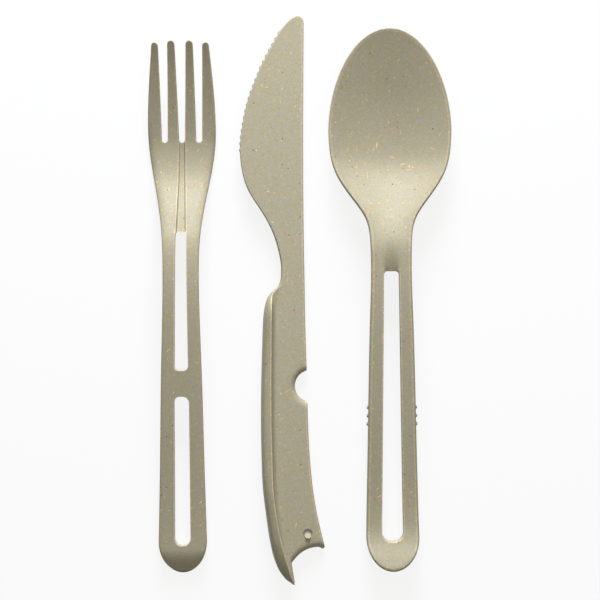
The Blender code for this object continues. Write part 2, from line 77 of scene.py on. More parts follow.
class Nodes:
    """Short calls that add nodes to a material or a node group and link them."""

    def __init__(self, tree):
        self.tree = tree

    def add(self, kind, settings=None, **inputs):
        node = self.tree.nodes.new(kind)
        for name, value in (settings or {}).items():
            setattr(node, name, value)
        for name, value in inputs.items():
            self.set(node, int(name[1:]) if name[1:].isdigit() else name.replace("_", " "), value)
        return node

    def set(self, node, name, value):
        socket = node.inputs[name]
        if isinstance(value, bpy.types.NodeSocket):
            self.tree.links.new(value, socket)
        else:
            socket.default_value = value

    def math(self, operation, *values):
        node = self.add("ShaderNodeMath", {"operation": operation})
        for index, value in enumerate(values):
            self.set(node, index, value)
        return node.outputs[0]

    def blend(self, share, base, over):
        """Puts one colour over another, by a share."""
        node = self.add("ShaderNodeMix", {"data_type": "RGBA"})
        for name, value in (("Factor_Float", share), ("A_Color", base), ("B_Color", over)):
            socket = next(item for item in node.inputs if item.identifier == name)
            if isinstance(value, bpy.types.NodeSocket):
                self.tree.links.new(value, socket)
            else:
                socket.default_value = (*value, 1) if isinstance(value, tuple) else value
        return next(item for item in node.outputs if item.identifier == "Result_Color")

    def ramp(self, value, low, high):
        """0 at low and 1 at high, and held there outside them."""
        node = self.add("ShaderNodeMapRange", {"clamp": True}, Value=value, From_Min=low, From_Max=high)
        return node.outputs["Result"]

    def noise(self, place, scale, detail, roughness):
        node = self.add("ShaderNodeTexNoise", Vector=place, Scale=scale, Detail=detail, Roughness=roughness)
        return node.outputs["Fac"]


def fibres(nodes, place, cell, length, width, kept, tilt):
    """Short rods strewn through the plastic: where one is cut by the skin, and a random number for each."""
    grid = nodes.add("ShaderNodeTexVoronoi", {"voronoi_dimensions": "3D"}, Vector=place, Scale=1 / cell)
    offset = nodes.add("ShaderNodeVectorMath", {"operation": "SUBTRACT"}, _0=place,
                       _1=grid.outputs["Position"]).outputs[0]
    chance = nodes.add("ShaderNodeSeparateColor", Color=grid.outputs["Color"])
    turn = nodes.add("ShaderNodeVectorMath", {"operation": "MULTIPLY"}, _0=grid.outputs["Color"],
                     _1=(tilt, tilt, 40.0)).outputs[0]
    lined = nodes.add("ShaderNodeVectorRotate", {"rotation_type": "EULER_XYZ"}, Vector=offset, Rotation=turn)
    scaled = nodes.add("ShaderNodeVectorMath", {"operation": "MULTIPLY"}, _0=lined.outputs[0],
                       _1=(2 / length, 2 / width, 2 / width)).outputs[0]
    far = nodes.add("ShaderNodeVectorMath", {"operation": "LENGTH"}, _0=scaled).outputs["Value"]
    inside = nodes.ramp(far, 1.0, 0.55)
    there = nodes.ramp(chance.outputs["Red"], kept - 0.001, kept)
    absent = nodes.math("SUBTRACT", 1.0, there)
    return nodes.math("MULTIPLY", inside, absent), chance.outputs["Green"], chance.outputs["Blue"]


def fibre_plastic():
    """The compound: a mottled body, gold and straw fibres, brown specks, painted golden highlight lines
    along the rims and a fine matt skin.
    """
    material = bpy.data.materials.new("fibre_plastic")
    material.use_nodes = True
    nodes = Nodes(material.node_tree)
    shader = material.node_tree.nodes["Principled BSDF"]
    metres = nodes.add("ShaderNodeTexCoord").outputs["Object"]
    place = nodes.add("ShaderNodeVectorMath", {"operation": "SCALE"}, _0=metres, Scale=1000.0).outputs[0]
    lines = []
    for name, width, strength in PAINTED_HIGHLIGHT_LINES:
        off = nodes.add("ShaderNodeAttribute", {"attribute_name": name}).outputs["Fac"]
        line = nodes.ramp(nodes.math("ABSOLUTE", off), width, 0.04)
        lines.append(nodes.math("MULTIPLY", line, strength))
    # rim: how near a point lies to a painted highlight line, up to that line's strength
    rim = nodes.math("MAXIMUM", *lines)

    cloud = nodes.noise(place, 0.75, 4.0, 0.7)
    grain = nodes.noise(place, 2.6, 3.0, 0.75)
    body = nodes.blend(nodes.ramp(cloud, 0.38, 0.62), GREY_COLOUR, WARM_COLOUR)
    dark_grain = nodes.math("MULTIPLY", nodes.ramp(grain, 0.52, 0.75), 0.30)
    body = nodes.blend(dark_grain, body, BROWN)
    light_grain = nodes.math("MULTIPLY", nodes.ramp(grain, 0.48, 0.25), 0.20)
    body = nodes.blend(light_grain, body, CREAM)

    # Fibres that lie just under the skin show as soft warm smudges, more of them along the rims, where the
    # highlight lines are painted
    smudge = nodes.noise(place, 1.1, 3.0, 0.75)
    smudge_by_highlight = nodes.math("ADD", smudge, nodes.math("MULTIPLY", rim, 0.09))
    smudge_share = nodes.math("MULTIPLY", nodes.ramp(smudge_by_highlight, 0.56, 0.74), 0.55)
    body = nodes.blend(smudge_share, body, GOLD)
    # Painted highlight: cream and straw lines along the edges, the lips and the knife's crest, where rounded
    # edges catch the light
    highlight_strength = nodes.math("ADD", nodes.math("MULTIPLY", nodes.ramp(smudge, 0.42, 0.62), 0.32), 0.16)
    painted_highlight_share = nodes.math("MULTIPLY", rim, highlight_strength)
    body = nodes.blend(painted_highlight_share, body, nodes.blend(highlight_strength, CREAM, STRAW))

    crowded_share = nodes.ramp(nodes.noise(place, 0.09, 2.0, 0.6), 0.3, 0.62)
    for cell, length, width, kept, tilt, first, second in FIBRES:
        share, hue, strength = fibres(nodes, place, cell, length, width, kept, tilt)
        strength = nodes.math("MULTIPLY", nodes.ramp(strength, -0.1, 0.8), crowded_share)
        body = nodes.blend(nodes.math("MULTIPLY", share, strength), body, nodes.blend(hue, first, second))
    for cell, width, kept, colour in SPECKS:
        share, _, strength = fibres(nodes, place, cell, width * 1.8, width, kept, SPECK_TILT)
        body = nodes.blend(nodes.math("MULTIPLY", share, nodes.ramp(strength, -0.3, 0.8)), body, colour)

    skin = nodes.noise(place, 5.0, 3.0, 0.6)
    relief = nodes.add("ShaderNodeBump", Strength=0.12, Distance=SKIN_BUMP, Height=skin)
    rough = nodes.add("ShaderNodeMapRange", Value=grain, To_Min=SKIN_ROUGHNESS - 0.06,
                      To_Max=SKIN_ROUGHNESS + 0.08)
    nodes.set(shader, "Base Color", body)
    nodes.set(shader, "Roughness", rough.outputs["Result"])
    nodes.set(shader, "Normal", relief.outputs["Normal"])
    nodes.set(shader, "IOR", SKIN_IOR)
    return material


plastic = fibre_plastic()

# The fork: one moulding with four tines, a shallow groove down the middle of its head and two slots
# in its handle, with a bar between them that the knife's round notch clips over.
MM = 0.001
HALF_BLANK = 1.5                # half the thickness of a blank before it is laid on its profile
FINE_STEP = 0.8                 # spacing of the lines that a blank can bend along
RIM_RINGS = 3                   # rings of points inside each edge of a blank
CRISP_EDGE = 0.18               # radius of an edge that looks sharp
SHARP_ANGLE = 44                # degrees between faces from which an edge is drawn sharp
FORK_END = 9.6
FORK_LOWER_SLOT = 52.2
FORK_CROSSBAR = 9.0
FORK_UPPER_SLOT = 47.9
FORK_HEAD = 31.3
FORK_TINE = 34.1
FORK_OUTER_TINE_SHORT = 0.6
FORK_END_WIDTH = 16.74
FORK_CROSSBAR_WIDTH = 13.9
FORK_NECK_WIDTH = 12.3
FORK_HEAD_WIDTH = 23.5
FORK_TIP_WIDTH = 19.9
FORK_END_LENGTH = 11.2
FORK_LOWER_SLOT_WIDTHS = (5.6, 5.25)
FORK_UPPER_SLOT_WIDTHS = (4.85, 3.85)
TINE_GAP_AT_ROOT = 2.1
CENTRE_GAP_AT_TIP = 3.8
SIDE_GAP_AT_TIP = 3.2
INNER_TINE_AT_ROOT = 3.9
INNER_TINE_AT_TIP = 2.5
FORK_GROOVE_WIDTHS = (3.2, 2.1, 1.75)   # at the slot, at its knee and at the tines
FORK_GROOVE_DEPTHS = (1.5, 1.0, 0.6)
FORK_GROOVE_KNEE = 17.0
FORK_GROOVE_WALL = 0.34
FORK_NECK_HEIGHT = 10.0
FORK_TIP_HEIGHT = 11.0
FORK_HANDLE_THICKNESS = 4.0
FORK_ROOT_THICKNESS = 2.5
FORK_TIP_THICKNESS = 1.7
FORK_END_FALL = 0.042           # how fast the top of the handle's end falls away
FORK_TURN = 0.12                # degrees that the fork lies askew


def fair(stations):
    """The natural cubic spline through (place, value) stations, for one place or an array of them."""
    place, value = np.array(sorted(stations), dtype=float).T
    gap = np.diff(place)
    last = len(place) - 1
    matrix = np.eye(last + 1)
    right = np.zeros(last + 1)
    for i in range(1, last):
        matrix[i, i - 1:i + 2] = gap[i - 1], 2 * (gap[i - 1] + gap[i]), gap[i]
        right[i] = 6 * ((value[i + 1] - value[i]) / gap[i] - (value[i] - value[i - 1]) / gap[i - 1])
    bend = np.linalg.solve(matrix, right)

    def at(where):
        where = np.clip(where, place[0], place[-1])
        i = np.clip(np.searchsorted(place, where) - 1, 0, last - 1)
        ahead = (where - place[i]) / gap[i]
        behind = 1 - ahead
        sag = (behind ** 3 - behind) * bend[i] + (ahead ** 3 - ahead) * bend[i + 1]
        return behind * value[i] + ahead * value[i + 1] + sag * gap[i] ** 2 / 6

    return at


def between(start, end, step):
    """Evenly spaced places from start to end, both included."""
    return np.linspace(start, end, max(2, round(abs(end - start) / step) + 1))


def arc(centre, radii, start, end, steps):
    """Points of an ellipse's arc between two angles in degrees."""
    return [(centre[0] + radii[0] * math.cos(a), centre[1] + radii[1] * math.sin(a))
            for a in np.radians(np.linspace(start, end, steps + 1))]


def straight(start, end):
    """Points between two corners, without the corners themselves."""
    steps = max(1, round(math.dist(start, end) / FINE_STEP))
    return [tuple(np.add(start, np.subtract(end, start) * i / steps)) for i in range(1, steps)]


def taper(low, high, widths):
    """Half the width of something that changes evenly from one end to the other."""
    return lambda y: (widths[0] + (widths[1] - widths[0]) * (y - low) / (high - low)) / 2


def slot(half_width, low, high, low_corner, high_corner):
    """The outline of a slot between two places, with its own corner radius at each end."""
    side = []
    for corner, place, start, end in ((low_corner, low, -90, 0), (high_corner, high, 0, 90)):
        inward = low_corner if place == low else -high_corner
        centre = (half_width(place + inward) - corner, place + inward)
        side.append(arc(centre, (corner, corner), start, end, 8))
    middle = between(low + low_corner, high - high_corner, FINE_STEP)[1:-1]
    right = side[0] + [(half_width(y), y) for y in middle] + side[1]
    return right + [(-x, y) for x, y in reversed(right)]


def mirrored(right):
    """A closed outline from its right half, which starts and ends on the axis."""
    return right + [(-x, y) for x, y in reversed(right[1:-1])]


def blank(loops, inset):
    """A flat sheet from its outline and its holes' outlines, with rings of points inside each edge."""
    curve = bpy.data.curves.new("blank", "CURVE")
    curve.dimensions = "2D"
    curve.fill_mode = "BOTH"
    curve.extrude = HALF_BLANK - inset
    curve.bevel_depth = inset
    curve.bevel_resolution = RIM_RINGS
    curve.offset = -inset
    for loop in loops:
        spline = curve.splines.new("POLY")
        spline.points.add(len(loop) - 1)
        for point, (x, y) in zip(spline.points, loop):
            point.co = (x, y, 0, 1)
        spline.use_cyclic_u = True
    outline = bpy.data.objects.new("blank", curve)
    bpy.context.scene.collection.objects.link(outline)
    mesh = bpy.data.meshes.new_from_object(outline.evaluated_get(bpy.context.evaluated_depsgraph_get()))
    bpy.data.objects.remove(outline)
    bpy.data.curves.remove(curve)
    sheet = bmesh.new()
    sheet.from_mesh(mesh)
    bpy.data.meshes.remove(mesh)
    bmesh.ops.remove_doubles(sheet, verts=sheet.verts, dist=1e-4)
    flat = [edge for edge in sheet.edges if all(abs(face.normal.z) > 0.999 for face in edge.link_faces)]
    bmesh.ops.dissolve_limit(sheet, angle_limit=math.radians(0.5), verts=sheet.verts, edges=flat)
    return sheet


def score(sheet, point, along, within=None):
    """Adds a straight line of points right through a sheet, or the part of it that is asked for."""
    part = [face for face in sheet.faces if not within or within(face.calc_center_median())]
    around = {item for face in part for item in (*face.verts, *face.edges)} if within else (
        *sheet.verts, *sheet.edges)
    bmesh.ops.bisect_plane(sheet, geom=[*part, *around], dist=1e-4, plane_co=(*point, 0),
                           plane_no=(along[1], -along[0], 0))


def score_grid(sheet, across, lengthwise):
    """Scores a sheet across at each of some places, and lengthwise at each of some others."""
    for y in across:
        score(sheet, (0, y), (1, 0))
    for x in lengthwise:
        score(sheet, (x, 0), (0, 1))


def distance_to(loops, x, y):
    """How far points lie from the nearest of some closed outlines."""
    nearest = np.full(len(x), np.inf)
    for loop in loops:
        corners = np.array(loop)
        for start, end in zip(corners, np.roll(corners, -1, axis=0)):
            along = end - start
            share = np.clip(((x - start[0]) * along[0] + (y - start[1]) * along[1]) / (along @ along), 0, 1)
            gap = np.hypot(x - start[0] - share * along[0], y - start[1] - share * along[1])
            nearest = np.minimum(nearest, gap)
    return nearest


def rounded(inward, radius):
    """How far an edge of a radius has dropped at a distance inward from the rim."""
    return radius * (1 - np.sqrt(1 - (1 - np.clip(inward / radius, 0, 1)) ** 2))


def crowned(inward, width, slope):
    """How far a face that curves down to its rim with a slope has dropped."""
    return 0.5 * slope * width * (1 - np.clip(inward / width, 0, 1)) ** 2


def lay_on(sheet, loops, height, upper, lower):
    """Bends a sheet on to its middle surface; upper and lower give how far its faces stand from it."""
    reach = 0.05
    x, y, z = np.array([vertex.co for vertex in sheet.verts]).T
    rim, hole = distance_to(loops[:1], x, y), distance_to(loops[1:], x, y)
    slope = (height(x, y + reach) - height(x, y - reach)) / (2 * reach)
    off = np.where(z > 0, upper(x, y, rim, hole), -lower(x, y, rim, hole)) * np.sqrt(1 + slope ** 2)
    for vertex, place in zip(sheet.verts, zip(x, y, height(x, y) + off)):
        vertex.co = place


def as_object(name, sheet):
    """A mesh object in metres from a sheet in millimetres."""
    bmesh.ops.scale(sheet, vec=(MM, MM, MM), verts=sheet.verts)
    bmesh.ops.recalc_face_normals(sheet, faces=sheet.faces)
    mesh = bpy.data.meshes.new(name)
    sheet.to_mesh(mesh)
    sheet.free()
    piece = bpy.data.objects.new(name, mesh)
    bpy.context.scene.collection.objects.link(piece)
    return piece


def combine(piece, operation, shape):
    """Joins a shape to a piece or cuts it out, and clears the shape away."""
    modifier = piece.modifiers.new("join", "BOOLEAN")
    modifier.operation = operation
    modifier.solver = "EXACT"
    modifier.object = shape
    bpy.context.view_layer.update()
    mesh = bpy.data.meshes.new_from_object(piece.evaluated_get(bpy.context.evaluated_depsgraph_get()))
    piece.modifiers.remove(modifier)
    piece.data = mesh
    bpy.data.objects.remove(shape)


def settle(piece, node, turn, **lines):
    """Marks the lines where golden highlights are painted, each some way inward of outlines, puts the piece
    where its CAD node is and hands it over."""
    mesh = piece.data
    x, y, z = np.array([vertex.co for vertex in mesh.vertices]).T / MM
    for name, (loops, inward) in lines.items():
        off = distance_to(loops, x, y) - inward
        mesh.attributes.new(name, "FLOAT", "POINT").data.foreach_set("value", off.astype(np.float32))
    mesh.transform(turn.to_matrix().to_4x4())
    points = np.array([vertex.co for vertex in mesh.vertices])
    low, high = (Vector(corner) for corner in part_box(node))
    middle = (points.min(axis=0) + points.max(axis=0)) / 2
    shift = ((low.x + high.x) / 2 - middle[0], (low.y + high.y) / 2 - middle[1], -points[:, 2].min())
    mesh.transform(Matrix.Translation(shift))
    mesh.materials.clear()
    mesh.materials.append(plastic)
    mesh.shade_smooth()
    mesh.set_sharp_from_angle(angle=math.radians(SHARP_ANGLE))
    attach(piece, "root")
    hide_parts(node)


def fork_outline(neck, roots, tips, half_width):
    """The fork's outline: handle, head and four tines with round tips and round roots."""
    side_tips = tips - FORK_OUTER_TINE_SHORT
    inner_root = (TINE_GAP_AT_ROOT / 2, TINE_GAP_AT_ROOT / 2 + INNER_TINE_AT_ROOT)
    inner_tip = (CENTRE_GAP_AT_TIP / 2, CENTRE_GAP_AT_TIP / 2 + INNER_TINE_AT_TIP)
    outer_root = inner_root[1] + TINE_GAP_AT_ROOT
    outer_tip = inner_tip[1] + SIDE_GAP_AT_TIP
    gap = TINE_GAP_AT_ROOT / 2
    outer = (FORK_TIP_WIDTH / 2 - outer_tip) / 2
    inner = INNER_TINE_AT_TIP / 2
    start = roots + gap
    right = arc((0, FORK_END_LENGTH), (FORK_END_WIDTH / 2, FORK_END_LENGTH), -90, 0, 24)
    right += [(half_width(y), y) for y in between(FORK_END_LENGTH, side_tips - outer, FINE_STEP)[1:-1]]
    right += arc((outer_tip + outer, side_tips - outer), (outer, outer), 0, 180, 12)
    right += straight((outer_tip, side_tips - outer), (outer_root, start))
    right += arc((inner_root[1] + gap, start), (gap, gap), 0, -180, 12)
    right += straight((inner_root[1], start), (inner_tip[1], tips - inner))
    right += arc((inner_tip[0] + inner, tips - inner), (inner, inner), 0, 180, 12)
    right += straight((inner_tip[0], tips - inner), (inner_root[0], start))
    right += arc((0, start), (gap, gap), 0, -90, 6)
    return mirrored(right)


def make_fork():
    """The fork in millimetres, with the outlines of its rims."""
    crossbar = FORK_END + FORK_LOWER_SLOT
    upper_slot = crossbar + FORK_CROSSBAR
    neck = upper_slot + FORK_UPPER_SLOT
    roots = neck + FORK_HEAD
    tips = roots + FORK_TINE
    half_width = fair([(FORK_END_LENGTH, FORK_END_WIDTH / 2), (FORK_END_LENGTH + 28.8, 7.6),
                       (upper_slot - 0.8, FORK_CROSSBAR_WIDTH / 2), (neck - 14.7, FORK_NECK_WIDTH / 2),
                       (neck, FORK_NECK_WIDTH / 2 + 0.6), ((neck + roots) / 2, 9.28),
                       (roots, FORK_HEAD_WIDTH / 2 - 0.1), (roots + 7, FORK_HEAD_WIDTH / 2 + 0.02),
                       (tips - 2.1, FORK_TIP_WIDTH / 2)])
    end, belly = FORK_HANDLE_THICKNESS / 2, FORK_ROOT_THICKNESS / 2
    profile = fair([(0, 0.95 * end), (FORK_END, end), (27, 3.0), (45, 4.6), (67, 6.85), (89, 9.0),
                    (neck - 18.7, FORK_NECK_HEIGHT - 0.27), (neck - 11, FORK_NECK_HEIGHT - 0.2),
                    (neck - 2, 8.75), (neck + 1, 7.82), (neck + 7.5, 5.6), (neck + 14.3, 3.18),
                    (neck + 20, 1.66), (roots - 5.5, belly - 0.07), (roots, 1.47), (roots + 5.6, 2.46),
                    (roots + 11.1, 3.7), (roots + 16.4, 5.08), (roots + 21.7, 6.62), (roots + 27, 8.3),
                    (tips, FORK_TIP_HEIGHT)])
    depth = fair([(0, 0.9 * FORK_HANDLE_THICKNESS), (FORK_END_LENGTH, FORK_HANDLE_THICKNESS),
                  (neck - 10, FORK_HANDLE_THICKNESS), (neck + 7, 0.8 * FORK_HANDLE_THICKNESS),
                  (roots - 5, FORK_ROOT_THICKNESS), (roots + 10, FORK_ROOT_THICKNESS - 0.2),
                  (tips, FORK_TIP_THICKNESS)])
    loops = [fork_outline(neck, roots, tips, half_width),
             slot(taper(FORK_END, crossbar, FORK_LOWER_SLOT_WIDTHS), FORK_END, crossbar, 2.6, 2.2),
             slot(taper(upper_slot, neck, FORK_UPPER_SLOT_WIDTHS), upper_slot, neck, 1.6, 0.9)]
    sheet = blank(loops, inset=0.9)
    score_grid(sheet, between(0, tips, FINE_STEP)[1:-1], between(-12, 12, FINE_STEP)[1:-1])

    groove_places = (neck - 1.0, neck + FORK_GROOVE_KNEE, roots + TINE_GAP_AT_ROOT / 2)
    half_wall = FORK_GROOVE_WALL / 2
    for out in (-half_wall, half_wall):
        wall = [(width / 2 + out, y) for width, y in zip(FORK_GROOVE_WIDTHS, groove_places)]
        for start, stop in zip(wall, wall[1:]):
            for side in (-1, 1):
                score(sheet, (side * start[0], start[1]), (side * (stop[0] - start[0]), stop[1] - start[1]),
                      lambda centre: abs(centre.x) < 3.5 and start[1] - 1 < centre.y < stop[1] + 1)
    # Lips: where painted highlight lines run beside the groove
    lips = [(width / 2 + half_wall + 0.2, y) for width, y in zip(FORK_GROOVE_WIDTHS, groove_places)]

    def upper(x, y, rim, hole):
        on_head = np.clip((y - neck + 16) / 26, 0, 1) * np.clip((roots + 6 - y) / 14, 0, 1)
        on_tine = np.clip((y - roots) / 8, 0, 1)
        outer = np.where(y < FORK_END_LENGTH, rim, np.clip(half_width(y) - np.abs(x), rim, None))
        crown_width = 2.6 + 0.2 * on_head - 1.7 * on_tine
        crown_slope = 0.26 + 0.42 * on_head - 0.06 * on_tine
        drop = crowned(outer, crown_width, crown_slope)
        crisp = np.maximum(rounded(rim, CRISP_EDGE), rounded(hole, CRISP_EDGE))
        drop += np.where(outer < rim + 0.3, rounded(rim, 0.55), crisp)
        drop += FORK_END_FALL * np.clip(8.5 - y, 0, None) ** 2
        half_groove = np.interp(y, groove_places, FORK_GROOVE_WIDTHS) / 2
        inside = np.clip((half_groove + half_wall - np.abs(x)) / FORK_GROOVE_WALL, 0, 1)
        inside = np.where((y > groove_places[0] - 2) & (y < groove_places[2] + 2), inside, 0)
        return depth(y) / 2 - drop - np.interp(y, groove_places, FORK_GROOVE_DEPTHS) * inside

    def lower(x, y, rim, hole):
        return depth(y) / 2 - np.maximum(rounded(rim, 0.7), rounded(hole, 0.4))

    lay_on(sheet, loops, lambda x, y: profile(y), upper, lower)
    return as_object("fork_body", sheet), [*loops, lips + [(-x, y) for x, y in reversed(lips)]]


fork, fork_rims = make_fork()
# edge and lip: painted highlight lines along the fork's rims and the lips of its groove
settle(fork, "fork", Quaternion((0, 0, 1), math.radians(FORK_TURN)),
       edge=(fork_rims[:1], 0.1), lip=(fork_rims[1:], 0.05))

# The knife: a flat blade and handle plate in one, with a rail along the left of the handle that stands
# out on both faces. It lies rolled over on the rail, the corner of its handle and the tip of its blade.
KNIFE_LENGTH = 198.2
KNIFE_HANDLE = 106.5
BLADE_WIDTH = 22.3
BLADE_WAIST = 7.8
BLADE_EDGE_THICKNESS = 1.3
BLADE_BLEND = 20.0
PLATE_THICKNESS = 2.4
TOOTH_COUNT = 20
TOOTH_DEPTH = 0.38
TOOTH_OVERLAP = 1.25
TEETH_TO_TIP = 6.2
CROSSBAR_NOTCH_RADIUS = 5.46
CROSSBAR_NOTCH_PLACE = (2.36, 69.1)
CROSSBAR_NOTCH_OUT = 1.33       # how far its centre stands outside the back
CROSSBAR_NOTCH_MOUTH = (63.7, 74.9)
END_NOTCH_RADIUS = 10.4
END_NOTCH_PLACE = (5.0, 2.5)
NOTCH_ROUNDING = 2.0
NOTCH_STEP = 0.45               # spacing of the finer lines round both notches
HANDLE_CORNER = (7.45, 12.7)
HORN_CORNER = (-4.34, 7.66)
HORN_TIP = (-3.1, 0.45)
GATE_PLACE = (1.2, 17.8)
GATE_RADIUS = 1.75
GATE_CUT = (-0.4, 1.0)          # from and to, above the plate's face
GATE_NUB_RADIUS = 1.2
GATE_TAPER = 0.88
GATE_NUB = (-0.9, 0.25)
GATE_NUB_LEAN = -30
GATE_NUB_DOWN = 0.85
KNIFE_NECK = [(-8.3, 105.2), (-8.7, 104.2), (-9.1, 103.6), (-9.55, 103.1)]
RAIL_HALF_HEIGHT = 4.2
RAIL_THICKNESS = 2.6
RAIL_RIDGE = -12.0
RAIL_CREST = 0.4                # width of the strip along the top of the rail
RAIL_FOOT = 1.7                 # how far the fillet at the rail's foot reaches over the plate
RAIL_DRAFT = 0.62               # how far the rail's inner wall leans out

blade_length = KNIFE_LENGTH - KNIFE_HANDLE
widest = KNIFE_HANDLE + 0.485 * blade_length
handle_top, heel_place = KNIFE_HANDLE + 0.4, KNIFE_HANDLE - 9.5
ridge = fair([(0, -3.4), (0.8, -3.85), (2.1, -4.5), (5.7, -5.65), (9.4, -6.85), (16.5, -8.85), (23.8, -10.2),
              (32.2, RAIL_RIDGE + 0.7), (43.9, RAIL_RIDGE + 0.25), (56, RAIL_RIDGE), (88, RAIL_RIDGE),
              (heel_place, RAIL_RIDGE + 0.2), (handle_top - 7.3, RAIL_RIDGE + 0.5),
              (handle_top - 5.9, RAIL_RIDGE + 0.95), (handle_top - 4.8, RAIL_RIDGE + 1.8),
              (handle_top - 3.8, RAIL_RIDGE + 2.85), (handle_top - 2.7, RAIL_RIDGE + 3.8),
              (handle_top - 1.7, -BLADE_WAIST), (handle_top, -BLADE_WAIST + 0.5)])
rail_width = fair([(0, 0.5), (0.9, 1.0), (1.4, 1.5), (2.8, 2.25), (5, 3.1), (7, 3.4), (9, 3.5), (12.3, 3.35),
                   (18, 3.0), (26, 2.75), (43.6, RAIL_THICKNESS + 0.3), (61, RAIL_THICKNESS + 0.2),
                   (75, RAIL_THICKNESS), (handle_top - 18.3, RAIL_THICKNESS - 0.4), (handle_top - 11.4, 1.8),
                   (handle_top - 9, 1.5), (handle_top - 7.3, 1.2), (handle_top - 5.9, 0.8),
                   (handle_top - 4.8, 0.6), (handle_top - 3.8, 0.48), (handle_top, 0.45)])
rail_height = fair([(0, 2.2), (1, 2.9), (2.5, 3.5), (5, 3.9), (10, 4.1), (24, RAIL_HALF_HEIGHT),
                    (handle_top - 18, RAIL_HALF_HEIGHT), (handle_top - 11.4, RAIL_HALF_HEIGHT - 0.2),
                    (handle_top - 9, 3.3), (handle_top - 7.3, 2.4), (handle_top - 5.9, 1.75),
                    (handle_top - 4.8, 1.4), (handle_top - 3.8, 1.26), (handle_top - 2.7, 1.1),
                    (handle_top, 0.9)])
swell = [(0.108, 0.397), (0.183, 0.5), (0.258, 0.675), (0.334, 0.874), (0.409, 0.971), (0.485, 1),
         (0.599, 0.946), (0.675, 0.874), (0.751, 0.76), (0.828, 0.623), (0.905, 0.451), (0.954, 0.327)]
blade_edge = fair([(KNIFE_HANDLE, -BLADE_WAIST - 0.15), (KNIFE_HANDLE + 3.5, -BLADE_WAIST)]
                  + [(KNIFE_HANDLE + along * blade_length, -across * BLADE_WIDTH) for along, across in swell]
                  + [(KNIFE_LENGTH - 1.0, -4.5)])
back = fair([(HANDLE_CORNER[1], HANDLE_CORNER[0]), (18.7, 5.95), (25.7, 4.4), (43.2, 2.15),
             (60.6, 1.32), (74.4, 1.0), (88.5, 0.55), (104, 0.28), (120, 0), (KNIFE_LENGTH - 3.0, 0)])


def knife_outline():
    """The blade, the back, the two notches and the horn. The rail hides the left side."""
    notch = math.degrees(math.asin(math.sqrt(1 - (CROSSBAR_NOTCH_OUT / CROSSBAR_NOTCH_RADIUS) ** 2)))
    points = [HANDLE_CORNER]
    points += [(back(y), y) for y in between(HANDLE_CORNER[1], CROSSBAR_NOTCH_MOUTH[0], FINE_STEP)[1:-1]]
    points += arc(CROSSBAR_NOTCH_PLACE, (CROSSBAR_NOTCH_RADIUS,) * 2, -180 + notch, -180 - notch, 20)
    points += [(back(y), y) for y in between(CROSSBAR_NOTCH_MOUTH[1], KNIFE_LENGTH - 3.0, 2 * FINE_STEP)]
    points += arc((-2.2, KNIFE_LENGTH - 2.6), (2.2, 2.6), 15, 110, 8)
    points += [(blade_edge(y), y) for y in between(KNIFE_LENGTH - 1.6, KNIFE_HANDLE, FINE_STEP)]
    points += KNIFE_NECK
    points += [(ridge(y) - rail_width(y) / 2, y) for y in between(KNIFE_HANDLE - 4, 6, 2.0)]
    points += [HORN_TIP, HORN_CORNER]
    points += arc(END_NOTCH_PLACE, (END_NOTCH_RADIUS,) * 2, 148, 88, 14)[1:]
    points += [(6.8, 12.15)]
    return points


def make_rail():
    """The rail as a loft: a rounded outer face, a narrow crest and a fillet that runs into the plate."""
    foot = PLATE_THICKNESS / 2
    fold = math.radians(40)
    below_top = (-0.3, 0.3, 0.9, 1.5, 2.1, 2.8, 3.5, 4.3, 5.1, 6, 7, 8.2, 9.5)
    stations = [KNIFE_HANDLE - below for below in below_top]
    stations += [*between(KNIFE_HANDLE - 11, 8, 1.5), 7, 6, 5, 4.2, 3.6, 2.8, 2, 1.4, 0.9, 0.6, 0.3]
    rail = bmesh.new()
    rings = []
    for y in stations:
        crest, wide, tall = ridge(y), rail_width(y), rail_height(y)
        wall = tall - foot
        flat = min(max((15 - y) / 10, 0), 1)
        upper = []
        for a in np.linspace(math.pi / 2, fold, 9):
            part = (math.sin(a) - math.sin(fold)) / (1 - math.sin(fold))
            domed = 0.3 + 0.7 * math.cos(a) / math.cos(fold)
            upper.append((crest - RAIL_CREST - (wide - RAIL_CREST) * part,
                          tall * (domed + flat * (1 - 0.7 * part - domed)) - 0.05))
        upper += [(crest - 0.36, tall - 0.03), (crest - 0.18, tall), (crest - 0.02, tall - 0.02)]
        draft, reach = min(RAIL_DRAFT, 0.03 * y), min(RAIL_FOOT, 0.1 + 0.16 * y)
        upper += [(crest + draft * part, tall - 0.04 - (0.6 * wall - 0.04) * part) for part in (0, 0.5, 1)]
        upper += [(crest + draft + reach * part, foot - 0.05 + (0.4 * wall + 0.05) * (1 - part) ** 2)
                  for part in (0.2, 0.4, 0.6, 0.8, 1)]
        ring = [(crest - wide, 0)] + upper
        ring += [(x, -z) for x, z in reversed(upper)]
        rings.append([rail.verts.new((x, y, z)) for x, z in ring])
    for first, second in zip(rings, rings[1:]):
        for i in range(len(first)):
            j = (i + 1) % len(first)
            rail.faces.new((first[i], first[j], second[j], second[i]))
    rail.faces.new(rings[0])
    rail.faces.new(rings[-1])
    return rail


def new_group(name, **inputs):
    """A Geometry Nodes group with its inputs by name and kind: the tree, its nodes and what it is given."""
    tree = bpy.data.node_groups.new(name, "GeometryNodeTree")
    for title, kind in inputs.items():
        tree.interface.new_socket(title, in_out="INPUT", socket_type="NodeSocket" + kind)
    tree.interface.new_socket("Geometry", in_out="OUTPUT", socket_type="NodeSocketGeometry")
    nodes = Nodes(tree)
    return tree, nodes, nodes.add("NodeGroupInput").outputs


